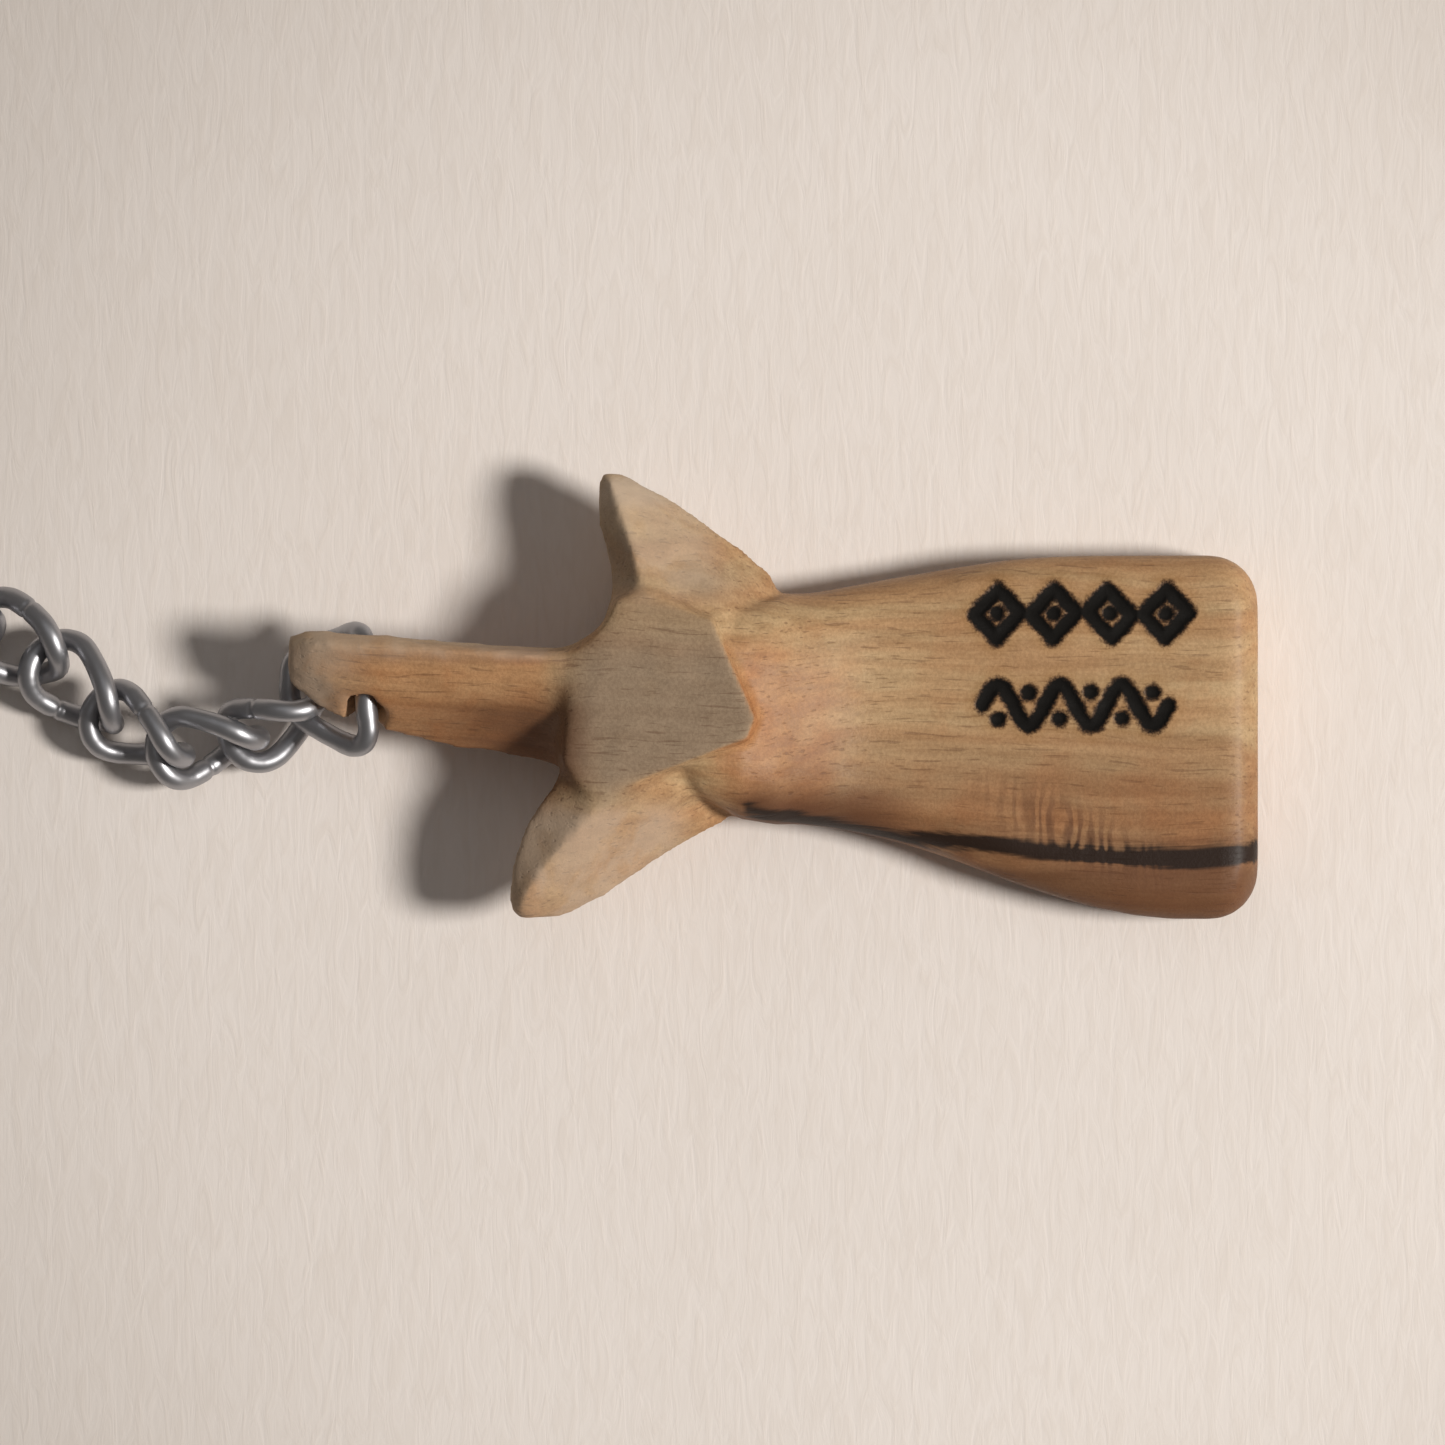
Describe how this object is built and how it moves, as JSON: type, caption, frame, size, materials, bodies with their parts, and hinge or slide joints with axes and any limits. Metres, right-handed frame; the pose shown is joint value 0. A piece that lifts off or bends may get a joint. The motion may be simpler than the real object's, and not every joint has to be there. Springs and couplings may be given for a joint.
{
  "type": "keychain",
  "caption": "Whittled wooden star fob with a rounded tab, hung by one pointed arm from a twisted curb chain that ends in a split key ring.",
  "frame": {"origin": "on the flat back of the fob, under the middle of the star", "axes": "+X towards the end of the tab, +Y across the fob towards its upper arm, +Z out of the carved face; the chain runs towards -X"},
  "size_m": [0.1628, 0.0391, 0.015],
  "materials": {
    "carved_wood": "whittled, oiled, satin with a few glossy spots",
    "chain_steel": "worn nickel-plated wire, dark in the crevices",
    "spring_steel": "plated spring wire, lightly scratched"
  },
  "bodies": {
    "fob": {"carved_fob": "carved_wood"},
    "arm_ring": {"arm_ring": "chain_steel"},
    "link_01": {"chain_link_01": "chain_steel"},
    "link_02": {"chain_link_02": "chain_steel"},
    "link_03": {"chain_link_03": "chain_steel"},
    "link_04": {"chain_link_04": "chain_steel"},
    "link_05": {"chain_link_05": "chain_steel"},
    "link_06": {"chain_link_06": "chain_steel"},
    "link_07": {"chain_link_07": "chain_steel"},
    "link_08": {"chain_link_08": "chain_steel"},
    "connecting_ring": {"connecting_ring": "spring_steel"},
    "key_ring": {"split_key_ring": "spring_steel"}
  },
  "joints": [
    {"name": "arm_ring_swing", "type": "hinge", "parent": "fob", "child": "arm_ring", "pos_m": [-0.0274, 0.00179, 0.01001], "axis": [0, 1, 0], "range_deg": [-60, 2]},
    {"name": "link_01_swing", "type": "hinge", "parent": "arm_ring", "child": "link_01", "pos_m": [-0.03359, -0.00103, 0.0056], "axis": [-0.6017, 0.757, -0.2547], "range_deg": [-45, 8]},
    {"name": "link_02_swing", "type": "hinge", "parent": "link_01", "child": "link_02", "pos_m": [-0.03924, -0.00407, 0.00345], "axis": [-0.4894, 0.8696, 0.0656], "range_deg": [-45, 2]},
    {"name": "link_03_swing", "type": "hinge", "parent": "link_02", "child": "link_03", "pos_m": [-0.04336, -0.00501, 0.00487], "axis": [-0.2029, -0.1276, 0.9709], "range_deg": [-20, 28]},
    {"name": "link_04_swing", "type": "hinge", "parent": "link_03", "child": "link_04", "pos_m": [-0.05142, -0.00072, 0.00374], "axis": [0.4654, 0.8844, 0.0346], "range_deg": [-35, 4]},
    {"name": "link_05_swing", "type": "hinge", "parent": "link_04", "child": "link_05", "pos_m": [-0.05433, 0.00295, 0.00393], "axis": [0.1613, 0.3573, 0.9199], "range_deg": [-28, 4]},
    {"name": "link_06_swing", "type": "hinge", "parent": "link_05", "child": "link_06", "pos_m": [-0.06237, 0.00741, 0.00361], "axis": [0.4232, 0.7243, -0.5443], "range_deg": [-2, 45]},
    {"name": "link_07_swing", "type": "hinge", "parent": "link_06", "child": "link_07", "pos_m": [-0.06675, 0.00611, 0.00242], "axis": [-0.1998, 0.692, 0.6937], "range_deg": [-25, 11]},
    {"name": "link_08_swing", "type": "hinge", "parent": "link_07", "child": "link_08", "pos_m": [-0.07543, 0.00312, 0.0029], "axis": [-0.2231, 0.5146, -0.8279], "range_deg": [-45, 38]},
    {"name": "connecting_ring_swing", "type": "hinge", "parent": "link_08", "child": "connecting_ring", "pos_m": [-0.08241, 0.0032, 0.00312], "axis": [-0.0493, 0.6678, -0.7427], "range_deg": [-45, 40]},
    {"name": "key_ring_lift", "type": "hinge", "parent": "connecting_ring", "child": "key_ring", "pos_m": [-0.08553, 0.0033, 0.00303], "axis": [-0.1383, 0.9901, -0.0236], "range_deg": [-22, 30]}
  ]
}
